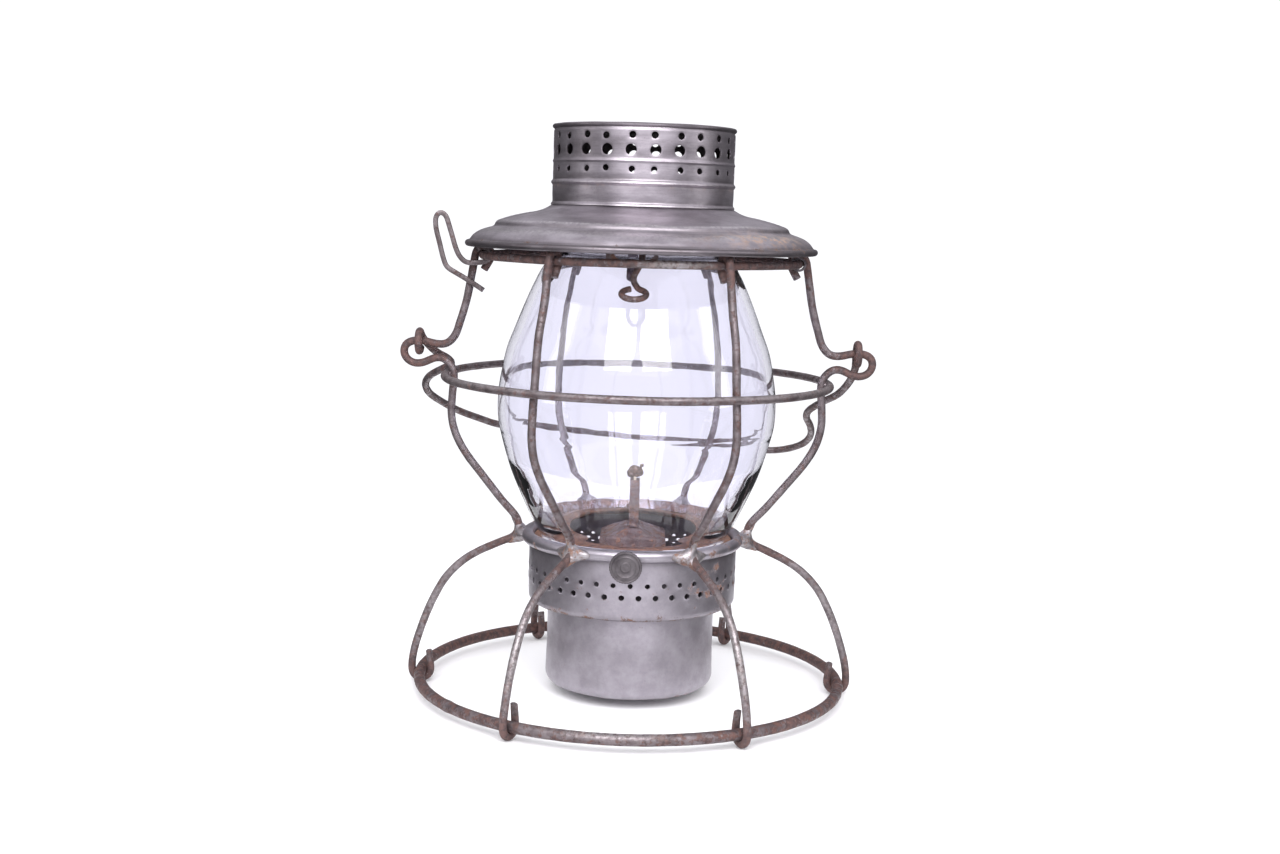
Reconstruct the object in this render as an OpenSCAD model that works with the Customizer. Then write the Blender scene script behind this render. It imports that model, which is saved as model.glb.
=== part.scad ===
// Wire-guard oil lantern: six bent guard wires carry a glass globe, an air drum with an oil
// fount below it, and a hinged lid with a pierced chimney. Origin on the floor under the
// globe's axis, +Z up, the wick knob faces -Y, the lid hinge is at +X and its catch at -X.

/* [Wires] */
// Diameter of the guard wires, the guard ring, the top ring and the bail
wire_d = 3.4; // [3.2:0.1:3.5]
// Diameter of the base ring's wire
base_wire_d = 4.8; // [4.4:0.1:5]
// Sides of a bent wire's section
wire_sides = 10; // [8:2:12]
// Spacing of the sections along a bent wire
wire_step = 6; // [4:1:8]

/* [Rings] */
// Radius of the base ring, at the middle of its wire
base_ring_r = 92; // [91:0.5:93]
// Radius of the guard ring around the guard wires
guard_ring_r = 83; // [82.8:0.1:83.4]
// Height of the guard ring
guard_ring_z = 137.4; // [136:0.2:138]
// Radius of the top ring under the lid
top_ring_r = 67.7; // [67.5:0.1:67.9]
// Height of the top ring
top_ring_z = 189.2; // [189:0.1:189.4]

/* [Bail] */
// Height of the bail's pivots in the two ears
pivot_z = 151.1; // [150.9:0.1:151.3]
// How far below the horizontal the bail hangs behind the lantern
bail_drop = 25; // [20:1:30]
// Radius of the bail's eyes, at the middle of the wire
eye_r = 4.4; // [4.3:0.1:4.5]

/* [Lid] */
// Outer radius of the chimney
chimney_r = 38.7; // [38.4:0.1:38.9]
// Height of the chimney's rim
chimney_top = 245.5; // [245:0.1:246]
// Radius of the hood's rolled edge
hood_r = 75.4; // [75:0.1:75.8]
// Thickness of the tinned sheet
sheet = 0.7; // [0.6:0.05:0.8]
// Width of the notch in the hood's edge over the hinge wire
notch_w = 9; // [8:0.5:12]

/* [Drum and tank] */
// Radius of the air drum's wall, at the middle of the sheet
drum_r = 44.8; // [44.6:0.1:45]
// Radius of the tank cup's wall, at the middle of the sheet
cup_r = 36.2; // [36:0.1:36.3]
// Draught holes in each row of the drum
drum_holes = 40; // [30:2:44]

/* [Globe] */
// Thickness of the glass
glass = 3; // [2.6:0.1:3.2]
// Thickness of the glass at the globe's foot
foot_glass = 5.4; // [5:0.1:5.5]

/* [Burner] */
// Height of the wick shaft
shaft_z = 65.2; // [65:0.1:65.4]
// Distance of the wick shaft from the lantern's middle plane
shaft_x = -2.05; // [-2.1:0.01:-2.05]
// Radius of the wick shaft
shaft_r = 0.7; // [0.6:0.05:0.75]
// Radius of the wick knob
knob_r = 6.8; // [6:0.1:7.2]

/* [Hidden] */
$fn = 64;

wire_r = wire_d / 2;
touch = 0.1;                                  // daylight between wires that only touch
wear = 0.25;                                  // depth of the worn flats under the feet
base_ring_z = base_wire_d / 2 + wire_d + touch - wear;
base_hook_r = base_wire_d / 2 + wire_r + touch;
top_hook_r = wire_d + touch;
guard_r = guard_ring_r - wire_d - touch;      // the guard wires, where the guard ring holds them
drum_top = 68.5;                              // middle of the rolled bead around the drum
bead_r = 2.6;
bead_ring_r = 46;
wick_x = 0.3;
wick_t = 1;
knob_y = -50.3;
bush_r = 1.9;

// Radius and height of the guard wires from the top hook down to the drum's bead
UPPER_RUN = [[72.2, 183], [74.5, 170], [77, 160], [78.3, 150], [guard_r, guard_ring_z],
    [80.4, 128], [80.4, 119], [78.4, 111], [74, 103], [66.6, 93.5], [58.3, 83.2],
    [50.2, 73.2]];
// The two side wires bulge into a flat loop, the ear that holds the bail
EAR_RUN = [[72.2, 183], [74.5, 170], [77.3, 160], [79.4, 154], [83, 150.4], [88, 150.2],
    [91.5, pivot_z], [98, pivot_z], [101, 149], [101.2, 145.2], [99, 142.4], [95.5, 141.4],
    [92, 142.2], [88.5, 143.9], [85, 144.2], [82, 142.3], [80, 139.4], [guard_r, 136.6],
    [80.2, 128], [80.4, 119], [78.4, 111], [74, 103], [66.6, 93.5], [58.3, 83.2],
    [50.2, 73.2]];
// Radius and height of the legs from the bead down to the base ring
LEG_RUN = [[51.3, 67.4], [58, 64], [67.5, 59.5], [75, 54.5], [82, 47], [87, 38], [90, 31],
    [92.5, 24], [95, 15.5], [96.1, 9.5]];

// Across, along and above the bail's plane, from the left eye round to the right one
BAIL_RUN = [[-92.6, 6.6, 1.9], [-89, 13.5, 0.2], [-84.6, 21.5, 0], [-84, 28.5, 0],
    [-89.5, 36, 0], [-95.5, 45, 0], [-99, 57, 0], [-98.5, 70.5, 0], [-93, 85, 0],
    [-87, 96, 0], [-78, 107, 0], [-69, 116, 0], [-40, 124.5, 0], [1.7, 134.4, 0],
    [40, 141.5, 0], [62, 145.4, 0], [72, 144.6, 0], [79, 139.6, 0], [83.8, 132, 0],
    [86, 122, 0], [86, 112, 0], [84.3, 101, 0], [81.4, 89, 0], [81.4, 79, 0],
    [86.2, 66, 0], [92.2, 54, 0], [95.6, 35, 0], [96, 20, 0], [95.5, 12, 0.3],
    [94.9, 6.6, 1.9]];
bail_eye_x = 94.7;

// Along X and up, from the curl round the top ring out to the loop and back to the tip
LATCH_RUN = [[-71.5, 185.6], [-75, 185.8], [-77.9, 188.7], [-79.6, 192.6], [-80.8, 196.6],
    [-82.4, 201.6], [-83.8, 205.4], [-85.9, 206.8], [-87.8, 205.2], [-88, 201], [-86.2, 193.6],
    [-84.6, 187.5], [-83, 183.6], [-79.3, 181.3], [-73.8, 178.2], [-67.1, 174]];
latch_y = -3.6;
latch_w = 3;
latch_t = 2.4;
curl_bore = wire_r + 0.3;

// The retainer hangs on the bracket's slot and ends in a finger eye
retainer_d = 2.5;
slot_y = -60;
slot_z = 190.6;
hook_r = 2.8;
finger_r = 5;
finger_tilt = 22;
finger_c = [-1.9, -59.5, 177];
RETAINER_RUN = [[0.7, -62.8, 189.4], [-0.8, -62.6, 186.6], [-2.2, -61, 183.6],
    [-1.8, -58, 181.3]];

hinge_x = 67;
knuckle_in = 7.5;
knuckle_out = 11.5;
knuckle_bore = 2.15;
knuckle_wall = 0.8;

// Outer radius and height of the globe, from its foot to its top
GLOBE_RUN = [[40.3, 68.4], [41.2, 70.5], [43.2, 74], [49.8, 88], [54.4, 99], [58.2, 112],
    [59.7, 119], [60.1, 126.5], [59.8, 133.5], [58.4, 142], [56.5, 150.5], [53.3, 159],
    [49.8, 168], [46, 177], [41.9, 185], [37.5, 190.8], [33.6, 194.2], [32.4, 197.5],
    [32.4, 205.6]];

function unit(v) = v / norm(v);
function last(p) = p[len(p) - 1];

// Centripetal Catmull-Rom curve: one point between b and c
function on_curve(a, b, c, d, u) = let (
    t1 = sqrt(norm(b - a)), t2 = t1 + sqrt(norm(c - b)), t3 = t2 + sqrt(norm(d - c)),
    t = t1 + (t2 - t1) * u,
    p = a + (b - a) * t / t1,
    q = b + (c - b) * (t - t1) / (t2 - t1),
    r = c + (d - c) * (t - t2) / (t3 - t2),
    s = p + (q - p) * t / t2,
    w = q + (r - q) * (t - t1) / (t3 - t1)
) s + (w - s) * (t - t1) / (t2 - t1);

// Smooth curve through the points p, with a point about every step
function curve(p, step) = let (m = len(p) - 1) concat(
    [for (i = [0:m - 1])
        let (a = i > 0 ? p[i - 1] : 2 * p[0] - p[1],
             d = i < m - 1 ? p[i + 2] : 2 * p[m] - p[m - 1],
             n = max(2, ceil(norm(p[i + 1] - p[i]) / step)))
        for (k = [0:n - 1]) on_curve(a, p[i], p[i + 1], d, k / n)],
    [p[m]]);

function arc(c, r, from, to, n) = [for (k = [0:n]) let (a = from + (to - from) * k / n)
    [c[0] + r * cos(a), c[1] + r * sin(a)]];

function tangent(p, i) = unit(p[min(i + 1, len(p) - 1)] - p[max(i - 1, 0)]);
function across(n, t) = unit(n - t * (n * t));
function side_of(t) = across(abs(t[1]) < 0.9 ? [0, 1, 0] : [1, 0, 0], t);
function normals(p) = [for (i = 0, n = side_of(tangent(p, 0)); i < len(p);
    i = i + 1, n = i < len(p) ? across(n, tangent(p, i)) : n) n];

// A wire bent along the points p, with half-widths across (first normal) and the other way
module wire(p, half_a, half_b, sides) {
    n = normals(p);
    m = len(p);
    points = [for (i = [0:m - 1]) let (t = tangent(p, i), b = cross(t, n[i]))
        for (k = [0:sides - 1]) let (a = 360 * (k + 0.5) / sides)
            p[i] + half_a * cos(a) * n[i] + half_b * sin(a) * b];
    walls = [for (i = [0:m - 2], k = [0:sides - 1]) let (j = (k + 1) % sides)
        [i * sides + k, (i + 1) * sides + k, (i + 1) * sides + j, i * sides + j]];
    foot = [for (k = [0:sides - 1]) k];
    head = [for (k = [sides - 1:-1:0]) (m - 1) * sides + k];
    polyhedron(points, concat([foot], walls, [head]));
}

module ring_of_wire(r, z, d) {
    translate([0, 0, z]) rotate_extrude() translate([r, 0]) circle(d = d);
}

// Outline of a sheet of thickness t that follows the points p
function offset_point(p, i, d) = let (
    a = unit(p[max(i, 1)] - p[max(i, 1) - 1]),
    b = unit(p[min(i, len(p) - 2) + 1] - p[min(i, len(p) - 2)]),
    n = unit([-a[1] - b[1], a[0] + b[0]]),
    stretch = d / max(0.5, n * [-a[1], a[0]])
) p[i] + n * stretch;
function sheet_outline(p, t) = concat(
    [for (i = [0:len(p) - 1]) offset_point(p, i, t / 2)],
    [for (i = [len(p) - 1:-1:0]) offset_point(p, i, -t / 2)]);
module spun_sheet(p, t) {
    rotate_extrude() polygon(sheet_outline(p, t));
}

// Small round holes through an upright wall of radius r, one at each angle
module hole_row(r, z, d, angles) {
    for (a = angles) rotate([0, 0, a])
        translate([r - 3, 0, z]) rotate([0, 90, 0]) cylinder(d = d, h = 6, $fn = 24);
}

// One guard wire: hook on the top ring, run down the globe, leg, hook on the base ring
function guard_path(run) = let (
    top = arc([top_ring_r, top_ring_z], top_hook_r, 212, 0, 14),
    tail_dir = [0.5, -0.87],
    low = arc([base_ring_r, base_ring_z], base_hook_r, 0, -180, 12)
) concat([top[0] + 5.4 * tail_dir], top, curve(concat(run, LEG_RUN), wire_step),
    low, [last(low) + [0.3, 4], last(low) + [1, 8.5]]);

module guard_wire(azimuth, run) {
    color("rosybrown") rotate([0, 0, azimuth]) difference() {
        wire([for (p = guard_path(run)) [p[0], 0, p[1]]], wire_r, wire_r, wire_sides);
        translate([base_ring_r - 10, -5, -5]) cube([20, 10, 5]);
    }
}

module eared_wire(azimuth) {
    color("rosybrown") union() {
        guard_wire(azimuth, EAR_RUN);
        rotate([0, 0, azimuth]) translate([92, 0, pivot_z])
            rotate([0, 90, 0]) cylinder(r = wire_r + 0.05, h = 5.6);
    }
}

module base_ring() {
    color("sienna") ring_of_wire(base_ring_r, base_ring_z, base_wire_d);
}

module guard_ring() {
    color("dimgray") ring_of_wire(guard_ring_r, guard_ring_z, wire_d);
}

module top_ring() {
    color("saddlebrown") ring_of_wire(top_ring_r, top_ring_z, wire_d);
}

module ring_welds() {
    color("gray") for (k = [0:5]) rotate([0, 0, 60 * k])
        translate([guard_ring_r - wire_r, 0, guard_ring_z]) sphere(r = 1.5, $fn = 32);
}

// A lobe of solder where each guard wire crosses the drum's bead
module collar_solder() {
    lobe_r = 3.9;
    half_length = 7.4;
    lobe_ring = 49.8;
    color("silver") for (k = [0:5]) rotate([0, 0, 60 * k])
        translate([lobe_ring, 0, drum_top - 0.6]) rotate([90, 0, 0]) rotate_extrude()
            polygon([for (a = [0:15:180]) [lobe_r * sin(a), half_length * cos(a)]]);
}

module air_drum() {
    floor_z = 40.9;
    corner = 2;
    pitch = 360 / drum_holes;
    wall = concat([[cup_r + 0.5, floor_z]],
        arc([drum_r - corner, floor_z + corner], corner, -90, 0, 5), [[drum_r, drum_top]]);
    color("lightsteelblue") difference() {
        union() {
            spun_sheet(wall, 0.8);
            ring_of_wire(bead_ring_r, drum_top, 2 * bead_r);
        }
        hole_row(drum_r, 55.9, 2.1, [for (k = [0:drum_holes - 1]) k * pitch]);
        hole_row(drum_r, 51, 2.4, [for (k = [0:drum_holes - 1]) (k + 0.5) * pitch]);
        translate([shaft_x, -drum_r + 4, shaft_z])
            rotate([90, 0, 0]) cylinder(r = bush_r + 0.05, h = 10, $fn = 32);
    }
}

module tank_cup() {
    corner = 4;
    floor_z = 4.3;
    color("lightgray") spun_sheet(concat([[0, floor_z]],
        arc([cup_r - corner, floor_z + corner], corner, -90, 0, 6), [[cup_r, 46]]), 0.8);
}

module globe_seat() {
    color("peru") spun_sheet([[28.5, 70.9], [33, 70.4], [34.4, 67.95], [43, 67.95]], sheet);
}

// The glass thickens towards the globe's foot, below this height
glass_step_z = 101;
function glass_at(z) = glass + (foot_glass - glass)
    * min(1, max(0, (glass_step_z - z) / (glass_step_z - 72)));

module globe() {
    run = curve(GLOBE_RUN, 9);
    inner = [for (i = [len(run) - 1:-1:0]) let (q = offset_point(run, i, glass_at(run[i][1])))
        [q[0], min(max(q[1], run[0][1]), last(run)[1])]];
    color("aliceblue", 0.35) rotate_extrude() polygon(concat(run, inner));
}

module oil_fount() {
    color("darkgray") spun_sheet([[0, 6], [31, 6], [33.6, 7.6], [34.2, 10], [34.2, 42],
        [32, 45.5], [14.6, 49.6], [13.2, 50.8], [13.2, 53.8]], 0.8);
}

module burner_cap() {
    color("darkgoldenrod") difference() {
        union() {
            translate([0, 0, 54.4]) cylinder(r = 14.8, h = 1.4);
            translate([0, 0, 51.4]) difference() {
                cylinder(r = 14.8, h = 3.4);
                translate([0, 0, -1]) cylinder(r = 13.75, h = 6);
            }
        }
        translate([wick_x, 0, 54]) cube([2.8, 12.6, 8], center = true);
    }
}

module wick_tube() {
    top = 93.2;
    foot = 50;
    sleeve = 72.4;
    color("sienna") translate([wick_x, 0, 0]) difference() {
        union() {
            translate([-1.3, -6.2, foot]) cube([2.6, 12.4, top - foot]);
            translate([-2.1, -6.7, sleeve]) cube([4.2, 13.4, top - sleeve]);
        }
        translate([-0.7, -5.5, foot - 1]) cube([1.4, 11, top - foot + 2]);
        for (y = [-3, 3]) translate([-2, y - 0.8, shaft_z - 2.1]) cube([1.6, 1.6, 4.2]);
    }
}

// Low pyramid with its foot at z = 0
module pyramid(base, height, top_x, top_y) {
    plate = 0.01;
    hull() {
        translate([-base / 2, -base / 2, 0]) cube([base, base, plate]);
        translate([-top_x / 2, -top_y / 2, height - plate]) cube([top_x, top_y, plate]);
    }
}

module burner_deflector() {
    color("saddlebrown") difference() {
        translate([0, 0, 66.4]) pyramid(29, 5.6, 6, 14);
        translate([0, 0, 65.5]) pyramid(28.9, 5.6, 5.4, 13.4);
        translate([wick_x, 0, 70]) cube([2.7, 12.5, 20], center = true);
    }
}

module shaft_bush() {
    color("dimgray") translate([shaft_x, 0, shaft_z]) rotate([90, 0, 0]) difference() {
        translate([0, 0, 42.5]) cylinder(r = bush_r, h = 6.9, $fn = 32);
        translate([0, 0, 42]) cylinder(r = shaft_r + 0.05, h = 8, $fn = 32);
    }
}

module hood() {
    skin = [[39.1, 210.6], [42, 209.2], [45.4, 208.1], [53, 206.5], [60.5, 204], [65.8, 200.8],
        [71.9, 197.4], [73.4, 195.4]];
    color("slategray") difference() {
        union() {
            spun_sheet(skin, sheet);
            ring_of_wire(hood_r - 1.4, 194.3, 2.8);
        }
        translate([70.2, -notch_w / 2, 185]) cube([12, notch_w, 15]);
    }
}

module chimney() {
    wall = chimney_r - sheet / 2;
    foot = 209.6;
    rib = 0.7;
    pairs = [for (k = [0:11], a = [-6.75, 6.75]) 30 * k + a];
    skin = [[wall, foot], [wall, 210.9], [wall + rib, 211.7], [wall, 212.5],
        [wall, 220], [wall + rib, 220.9], [wall, 221.8],
        [wall, 229.3], [wall + rib / 2, 229.8], [wall, 230.3], [wall, chimney_top - 1.2]];
    color("gainsboro") difference() {
        union() {
            spun_sheet(skin, sheet);
            ring_of_wire(wall, chimney_top - 1.2, 2.2);
        }
        hole_row(wall, 240, 2.9, pairs);
        hole_row(wall, 234.4, 4.6, [for (k = [0:23]) 7.5 + 15 * k]);
        hole_row(wall, 226.5, 2.6, pairs);
    }
}

module chimney_cap() {
    color("darkgray") spun_sheet([[0, 242], [18, 242], [19, 242.6], [26, 242.8], [27, 242.2],
        [35.5, 242.2], [36.4, 242.8], [36.9, 244]], 0.6);
}

module smoke_baffle() {
    color("gray") translate([0, 0, 214.5]) union() {
        cylinder(r = 24, h = 0.8);
        for (a = [30, 150, 270]) rotate([0, 0, a]) translate([20, -4, 0]) cube([17.6, 8, 0.8]);
    }
}

module globe_holder() {
    color("slategray") spun_sheet([[52.6, 205.2], [46.6, 205.3], [43.6, 196.8], [39.6, 195.9]], 0.6);
}

// Spring strips that steady the globe's shoulder
module globe_springs() {
    strip = [[45.2, 200.4], [41.4, 194.4], [42.7, 188.6], [46, 180.5], [48, 178.6]];
    color("lightgray") for (a = [-24, 96, 216]) rotate([0, 0, a]) rotate([90, 0, 0])
        translate([0, 0, -2.5]) linear_extrude(5) polygon(sheet_outline(strip, 0.5));
}

module lid_hinge() {
    leaf = [[64.5, top_ring_z], [64.2, 193], [61.6, 197.6], [59.3, 202.2], [53.8, 204]];
    color("dimgray") difference() {
        union() {
            for (s = [-1, 1]) translate([hinge_x, s * (knuckle_in + knuckle_out) / 2, top_ring_z])
                rotate([90, 0, 0]) cylinder(r = knuckle_bore + knuckle_wall,
                    h = knuckle_out - knuckle_in, center = true);
            difference() {
                translate([0, knuckle_out, 0]) rotate([90, 0, 0])
                    linear_extrude(2 * knuckle_out) polygon(sheet_outline(leaf, 0.8));
                translate([55, -knuckle_in, 180]) cube([15, 2 * knuckle_in, 17.2]);
            }
        }
        translate([hinge_x, 0, top_ring_z]) rotate([90, 0, 0])
            cylinder(r = knuckle_bore, h = 30, center = true);
    }
}

// Slotted tab that hangs inside the hood's front
module retainer_bracket() {
    half_t = 0.5;
    left = -13.3;
    right = 7.3;
    foot = slot_z - 2.6;
    color("sienna") difference() {
        union() {
            translate([left, slot_y - half_t, foot]) cube([right - left, 2 * half_t, 202 - foot]);
            translate([left, slot_y - half_t, 201.2]) cube([right - left, 8, 0.8]);
        }
        for (x = [-7.4, 3]) translate([x, slot_y, slot_z + 2.8])
            rotate([90, 0, 0]) cylinder(r = 2.8, h = 4, center = true);
        translate([-7.4, slot_y - 2, slot_z]) cube([10.4, 4, 5.6]);
    }
}

module rivet(x, y, z, length) {
    translate([x, y, z]) union() {
        cylinder(r = 0.9, h = length, $fn = 24);
        translate([0, 0, -0.8]) cylinder(r = 1.8, h = 0.8, $fn = 24);
    }
}

// Rivets that hold the bracket, the hinge leaf and the globe holder under the hood
module lid_rivets() {
    color("darkgray") {
        for (x = [-9, 3]) rivet(x, -55.6, 201.2, 4.1);
        for (y = [-7.5, 7.5]) rivet(56, y, 202.8, 2.5);
        for (a = [36, 156, 276]) rotate([0, 0, a]) rivet(49.8, 0, 204.9, 2.2);
    }
}

function finger_point(b) = finger_c + finger_r * [sin(b), cos(b) * cos(finger_tilt),
    cos(b) * sin(finger_tilt)];

module retainer_loop() {
    hook_x = 1;
    hook_z = slot_z + 0.4;
    hook_end = [for (p = arc([slot_y, hook_z], hook_r, 150, 180, 2)) [hook_x, p[0], p[1]]];
    eye = [for (b = [20:18:344]) finger_point(b)];
    path = concat(hook_end, curve(concat(RETAINER_RUN, [eye[0]]), 2.5),
        [for (i = [1:len(eye) - 1]) eye[i]]);
    color("saddlebrown") union() {
        wire(path, retainer_d / 2, retainer_d / 2, 8);
        translate([hook_x, slot_y, hook_z]) rotate([90, 0, 90])
            rotate_extrude(angle = 180) translate([hook_r, 0]) circle(r = retainer_d / 2 + 0.04);
        translate([hook_x, slot_y + hook_r, hook_z - 2.4])
            cylinder(r = retainer_d / 2 + 0.04, h = 2.4);
    }
}

// Spring catch: its end curls round the top ring and its loop is the thumb piece
module latch_spring() {
    ring_x = -sqrt(top_ring_r * top_ring_r - latch_y * latch_y);
    curl = arc([ring_x, top_ring_z], curl_bore + latch_t / 2, -70, -95, 2);
    path = curve(concat(curl, LATCH_RUN), 3.5);
    color("gray") translate([0, latch_y, 0]) union() {
        translate([ring_x, latch_w / 2, top_ring_z]) rotate([90, 0, 0])
            rotate([0, 0, -85]) rotate_extrude(angle = 235)
                translate([curl_bore, 0]) square([latch_t * 0.8, latch_w]);
        wire([for (p = path) [p[0], 0, p[1]]], latch_w / 2, latch_t / 2, 8);
    }
}

function bail_point(p) = [p[0],
    p[1] * cos(bail_drop) + p[2] * sin(bail_drop),
    pivot_z - p[1] * sin(bail_drop) + p[2] * cos(bail_drop)];

// One eye: an open ring round the ear, in a plane across X
module bail_eye(x) {
    lead = 60;
    translate([x, 0, pivot_z]) rotate([-bail_drop, 0, 0]) rotate([90, 0, 90])
        rotate([0, 0, lead]) rotate_extrude(angle = 285)
            translate([eye_r, 0]) circle(r = wire_r + 0.04);
}

function eye_lead(x, from, to) = [for (k = [0:3]) let (a = from + (to - from) * k / 3)
    [x, eye_r * cos(a), eye_r * sin(a)]];

module bail() {
    left = eye_lead(-bail_eye_x, 78, 58);
    right = eye_lead(bail_eye_x, 58, 78);
    path = concat(left, curve(concat([last(left)], BAIL_RUN, [right[0]]), wire_step), right);
    clean = [for (i = [0:len(path) - 1])
        if (i == 0 || norm(path[i] - path[max(i - 1, 0)]) > 0.01) bail_point(path[i])];
    color("rosybrown") union() {
        wire(clean, wire_r, wire_r, wire_sides);
        bail_eye(-bail_eye_x);
        bail_eye(bail_eye_x);
    }
}

module wick_knob() {
    color("dimgray") translate([shaft_x, knob_y, shaft_z]) rotate([90, 0, 0]) difference() {
        union() {
            cylinder(r = knob_r, h = 1.8);
            translate([0, 0, 1.7]) rotate_extrude() translate([knob_r - 0.9, 0]) circle(r = 0.7);
        }
        translate([0, 0, -1]) cylinder(r = shaft_r, h = 2.2, $fn = 32);
    }
}

module wick_shaft() {
    color("gray") translate([shaft_x, 4.5, shaft_z]) rotate([90, 0, 0])
        cylinder(r = shaft_r, h = 4.5 - knob_y + 1.2, $fn = 32);
}

module spur_wheels() {
    tip = 1.7;
    color("silver") for (y = [-3, 3]) translate([shaft_x, y, shaft_z]) rotate([90, 0, 0])
        difference() {
            union() {
                cylinder(r = tip - 0.5, h = 1, center = true, $fn = 32);
                for (a = [0:45:315]) rotate([0, 0, a + 22.5])
                    translate([tip - 0.9, -0.2, -0.5]) cube([0.85, 0.4, 1]);
            }
            cylinder(r = shaft_r, h = 2, center = true, $fn = 32);
        }
}

module wick() {
    color("ivory") translate([wick_x - wick_t / 2, -5.2, 12]) cube([wick_t, 10.4, 85.6]);
}

// The burnt, mushroomed end of the wick
module wick_char() {
    crust_r = 2.7;
    crust_z = 97.2;
    half = 3.4;
    color("saddlebrown") union() for (x = [-0.9, 0.9]) translate([wick_x + x, 0, crust_z]) {
        translate([0, half, 0]) rotate([90, 0, 0]) cylinder(r = crust_r, h = 2 * half, $fn = 32);
        for (y = [-half, half]) translate([0, y, 0]) sphere(r = crust_r, $fn = 32);
    }
}

base_ring();
guard_ring();
top_ring();
eared_wire(0);  // guard_wire_right
guard_wire(60, UPPER_RUN);  // guard_wire_back_right
guard_wire(120, UPPER_RUN);  // guard_wire_back_left
eared_wire(180);  // guard_wire_left
guard_wire(240, UPPER_RUN);  // guard_wire_front_left
guard_wire(300, UPPER_RUN);  // guard_wire_front_right
ring_welds();
collar_solder();
air_drum();
tank_cup();
globe_seat();
globe();
oil_fount();
burner_cap();
wick_tube();
burner_deflector();
shaft_bush();
hood();
chimney();
chimney_cap();
smoke_baffle();
globe_holder();
globe_springs();
lid_hinge();
retainer_bracket();
lid_rivets();
retainer_loop();
latch_spring();
bail();
wick_knob();
wick_shaft();
spur_wheels();
wick();
wick_char();
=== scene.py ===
"""Looks of a wire-guard oil lantern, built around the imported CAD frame.

Lengths are in millimetres inside this file and become metres where a mesh is made.
"""

import math

import bpy
import numpy as np
from mathutils import Matrix, Vector, noise


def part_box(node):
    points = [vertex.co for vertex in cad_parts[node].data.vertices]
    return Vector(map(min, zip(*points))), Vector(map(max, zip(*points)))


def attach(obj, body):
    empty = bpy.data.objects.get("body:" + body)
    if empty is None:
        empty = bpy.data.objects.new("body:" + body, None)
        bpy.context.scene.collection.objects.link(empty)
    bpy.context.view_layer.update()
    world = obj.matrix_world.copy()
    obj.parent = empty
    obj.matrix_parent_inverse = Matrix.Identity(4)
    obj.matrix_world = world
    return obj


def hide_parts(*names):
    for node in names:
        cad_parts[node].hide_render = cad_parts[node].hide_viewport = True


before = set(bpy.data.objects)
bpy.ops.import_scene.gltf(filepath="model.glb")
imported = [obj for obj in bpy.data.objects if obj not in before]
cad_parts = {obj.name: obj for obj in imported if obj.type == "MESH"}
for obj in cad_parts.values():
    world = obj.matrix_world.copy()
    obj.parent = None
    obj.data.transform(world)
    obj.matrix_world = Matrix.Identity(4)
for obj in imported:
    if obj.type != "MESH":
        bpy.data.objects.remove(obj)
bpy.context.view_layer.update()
MM = 0.001
UP = np.array((0.0, 0.0, 1.0))
# The CAD's own materials step aside, so that the looks below keep plain names.
for plain in bpy.data.materials:
    plain.name = "cad_" + plain.name

# ---- sizes taken from the frame


def low(node):
    return np.array(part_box(node)[0]) / MM


def high(node):
    return np.array(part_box(node)[1]) / MM


def ring_size(node):
    """(radius to the middle of the wire, height, radius of the wire) of a ring node."""
    thick = (high(node)[2] - low(node)[2]) / 2
    return high(node)[0] - thick, low(node)[2] + thick, thick


BASE_R, BASE_Z, BASE_WIRE = ring_size("base_ring")
GUARD_R, GUARD_Z, WIRE = ring_size("guard_ring")
TOP_R, TOP_Z, _ = ring_size("top_ring")
TOUCH = 0.1  # gap between wires that lie against each other
BASE_HOOK = BASE_WIRE + WIRE + TOUCH
TOP_HOOK = 2 * WIRE + TOUCH
GUARD_WIRE_R = GUARD_R - 2 * WIRE - TOUCH
WIRE_STEP = 0.9
WIRE_SIDES = 16
PIVOT_Z = 151.1  # height of the bail's pivot
DRUM_TOP = 68.5  # middle of the drum's rolled bead
BEAD = 2.6
BEAD_R = high("air_drum")[0] - BEAD
DRUM_R = BEAD_R - 1.2
SHEET = 0.8
CUP_R = high("tank_cup")[0] - SHEET / 2
CHIMNEY_TOP = high("chimney")[2]
CHIMNEY_R = 38.35
# Radii at which the noise of the dents is read.
DRUM_DENTS, CUP_DENTS, CHIMNEY_DENTS = 45, 36, 38
HOOD_R = high("hood")[1]
SHAFT_X, SHAFT_Z = (low("wick_shaft") + high("wick_shaft"))[[0, 2]] / 2
KNOB_R = (high("wick_knob")[0] - low("wick_knob")[0]) / 2
KNOB_BACK = high("wick_knob")[1]

# ---- routes shared with the CAD

LOWER_RUN = [(80.4, 119), (78.4, 111), (74, 103), (66.6, 93.5), (58.3, 83.2), (50.2, 73.2)]
UPPER_RUN = [(72.2, 183), (74.5, 170), (77, 160), (78.3, 150), (GUARD_WIRE_R, GUARD_Z),
             (80.4, 128)] + LOWER_RUN
EAR_RUN = [(72.2, 183), (74.5, 170), (77.3, 160), (79.4, 154), (83, 150.4), (88, 150.2),
           (91.5, PIVOT_Z), (98, PIVOT_Z), (101, 149), (101.2, 145.2), (99, 142.4), (95.5, 141.4),
           (92, 142.2), (88.5, 143.9), (85, 144.2), (82, 142.3), (80, 139.4), (GUARD_WIRE_R, 136.6),
           (80.2, 128)] + LOWER_RUN
LEG_RUN = [(51.3, 67.4), (58, 64), (67.5, 59.5), (75, 54.5), (82, 47), (87, 38), (90, 31),
           (92.5, 24), (95, 15.5), (96.1, 9.5)]
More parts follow.
